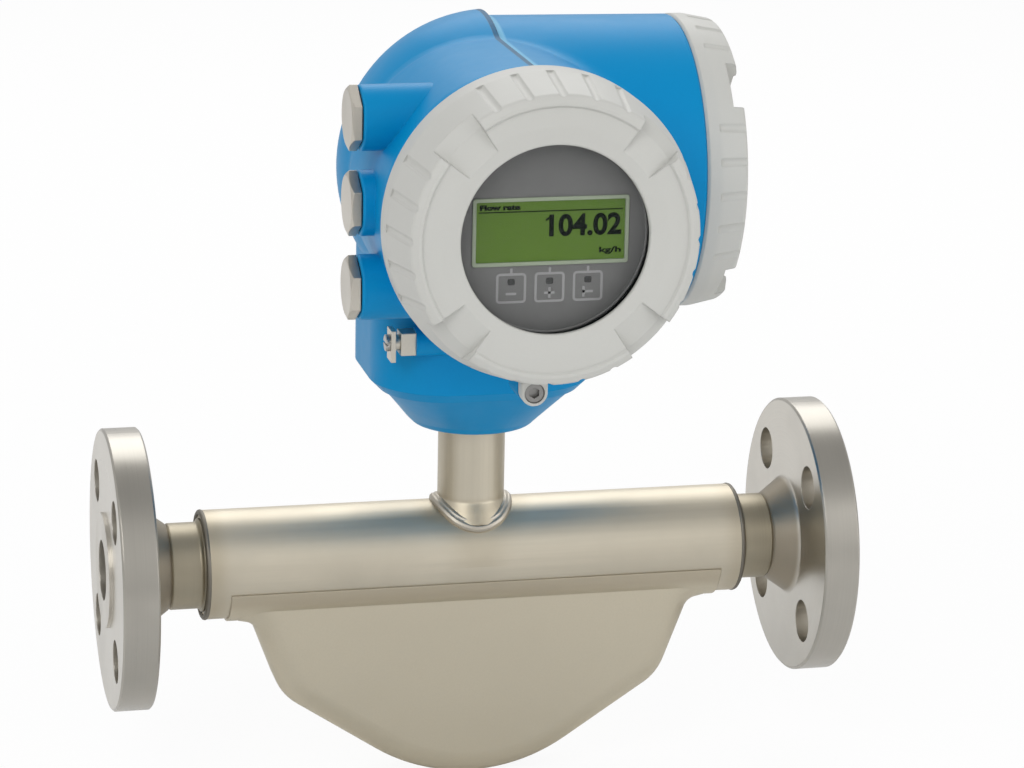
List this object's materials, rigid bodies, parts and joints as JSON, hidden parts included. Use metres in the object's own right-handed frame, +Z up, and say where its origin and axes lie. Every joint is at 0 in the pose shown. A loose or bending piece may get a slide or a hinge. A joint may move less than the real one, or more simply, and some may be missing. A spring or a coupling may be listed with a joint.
{
  "type": "coriolis flow meter",
  "caption": "Flanged mass flow meter: bent twin tubes in a steel shell, a swivelling two-chamber transmitter with screw covers and a round display window.",
  "frame": {"origin": "centre of the inlet flange's raised face, on the pipe axis", "axes": "+X along the flow from inlet to outlet, +Z up through the neck to the transmitter; the display faces -Y"},
  "size_m": [0.329, 0.2128, 0.346],
  "materials": {
    "bezel_plastic": "satin",
    "black_metal": "anodised",
    "black_plastic": "moulded",
    "board_laminate": "solder mask",
    "clamp_paint": "fine textured powder coat",
    "coil_copper": "wound",
    "cover_paint": "fine textured powder coat",
    "flange_steel": "machined",
    "frame_plastic": "satin",
    "ground_metal": "plated",
    "housing_paint": "satin powder coat",
    "inner_steel": "drawn",
    "machined_steel": "turned",
    "magnet_steel": "plated",
    "module_plastic": "moulded",
    "panel_display": "backlit liquid crystal",
    "plug_metal": "plated",
    "screw_steel": "plain",
    "seal_rubber": "matte",
    "shell_steel": "bead blasted",
    "terminal_plastic": "moulded",
    "tube_steel": "satin",
    "window_glass": "clear"
  },
  "bodies": {
    "sensor": {"inlet_flange": "flange_steel", "outlet_flange": "flange_steel", "inlet_manifold": "machined_steel", "outlet_manifold": "machined_steel", "carrier_tube": "tube_steel", "belly_shell": "shell_steel", "measuring_tube_front": "inner_steel", "measuring_tube_rear": "inner_steel", "inlet_outer_brace": "inner_steel", "inlet_inner_brace": "inner_steel", "outlet_outer_brace": "inner_steel", "outlet_inner_brace": "inner_steel", "inlet_pickup_coil": "coil_copper", "inlet_pickup_magnet": "magnet_steel", "outlet_pickup_coil": "coil_copper", "outlet_pickup_magnet": "magnet_steel", "drive_coil": "coil_copper", "drive_magnet": "magnet_steel", "tube_temperature_sensor": "coil_copper", "neck_tube": "tube_steel", "neck_feedthrough": "black_plastic", "neck_adapter": "machined_steel", "neck_seal": "seal_rubber"},
    "transmitter": {"transmitter_housing": "housing_paint", "housing_lock_screw": "screw_steel", "display_holder": "black_plastic", "terminal_carrier": "black_plastic", "terminal_block": "terminal_plastic", "terminal_screws": "screw_steel", "electronics_module": "module_plastic", "sensor_board": "board_laminate", "blanking_plug_upper": "plug_metal", "blanking_plug_middle": "plug_metal", "blanking_plug_lower": "plug_metal", "plug_seal_upper": "seal_rubber", "plug_seal_middle": "seal_rubber", "plug_seal_lower": "seal_rubber", "ground_block": "ground_metal", "ground_clamp": "ground_metal", "ground_screw": "ground_metal", "display_clamp_screw": "screw_steel", "electronics_clamp_screw": "screw_steel"},
    "display_cover_travel": {"display_cover_seal": "seal_rubber"},
    "display_cover_turn": {"display_cover": "cover_paint", "display_window": "window_glass", "window_gasket": "seal_rubber", "window_ring": "black_metal"},
    "electronics_cover_travel": {"electronics_cover_seal": "seal_rubber"},
    "electronics_cover_turn": {"electronics_cover": "cover_paint"},
    "display_module": {"display_bezel": "bezel_plastic", "display_frame": "frame_plastic", "display_panel": "panel_display", "display_board": "board_laminate"},
    "display_clamp": {"display_cover_clamp": "clamp_paint"},
    "electronics_clamp": {"electronics_cover_clamp": "clamp_paint"}
  },
  "joints": [
    {"name": "transmitter_swivel", "type": "hinge", "parent": "sensor", "child": "transmitter", "pos_m": [0.1645, 0, 0.07], "axis": [0, 0, 1], "range_deg": [-175, 175]},
    {"name": "display_cover_unscrew", "type": "hinge", "parent": "display_cover_travel", "child": "display_cover_turn", "pos_m": [0.1645, -0.1105, 0.1768], "axis": [0, -1, 0], "range_deg": [0, 1800]},
    {"name": "display_cover_advance", "type": "slide", "parent": "transmitter", "child": "display_cover_travel", "axis": [0, -1, 0], "range_m": [0, 0.01001]},
    {"name": "electronics_cover_unscrew", "type": "hinge", "parent": "electronics_cover_travel", "child": "electronics_cover_turn", "pos_m": [0.2497, -0.004, 0.1768], "axis": [1, 0, 0], "range_deg": [0, 1800]},
    {"name": "electronics_cover_advance", "type": "slide", "parent": "transmitter", "child": "electronics_cover_travel", "axis": [1, 0, 0], "range_m": [0, 0.01001]},
    {"name": "display_turn", "type": "hinge", "parent": "transmitter", "child": "display_module", "pos_m": [0.1645, -0.13, 0.1768], "axis": [0, -1, 0], "range_deg": [-180, 180]},
    {"name": "display_clamp_turn", "type": "hinge", "parent": "transmitter", "child": "display_clamp", "pos_m": [0.1645, -0.112, 0.1054], "axis": [0, -1, 0], "range_deg": [0, 90]},
    {"name": "electronics_clamp_turn", "type": "hinge", "parent": "transmitter", "child": "electronics_clamp", "pos_m": [0.2515, 0.04649, 0.12631], "axis": [1, 0, 0], "range_deg": [0, 90]}
  ],
  "couplings": [
    {"joint": "display_cover_advance", "follows": "display_cover_unscrew", "m_per_rad": 0.00031831},
    {"joint": "electronics_cover_advance", "follows": "electronics_cover_unscrew", "m_per_rad": 0.00031831}
  ]
}
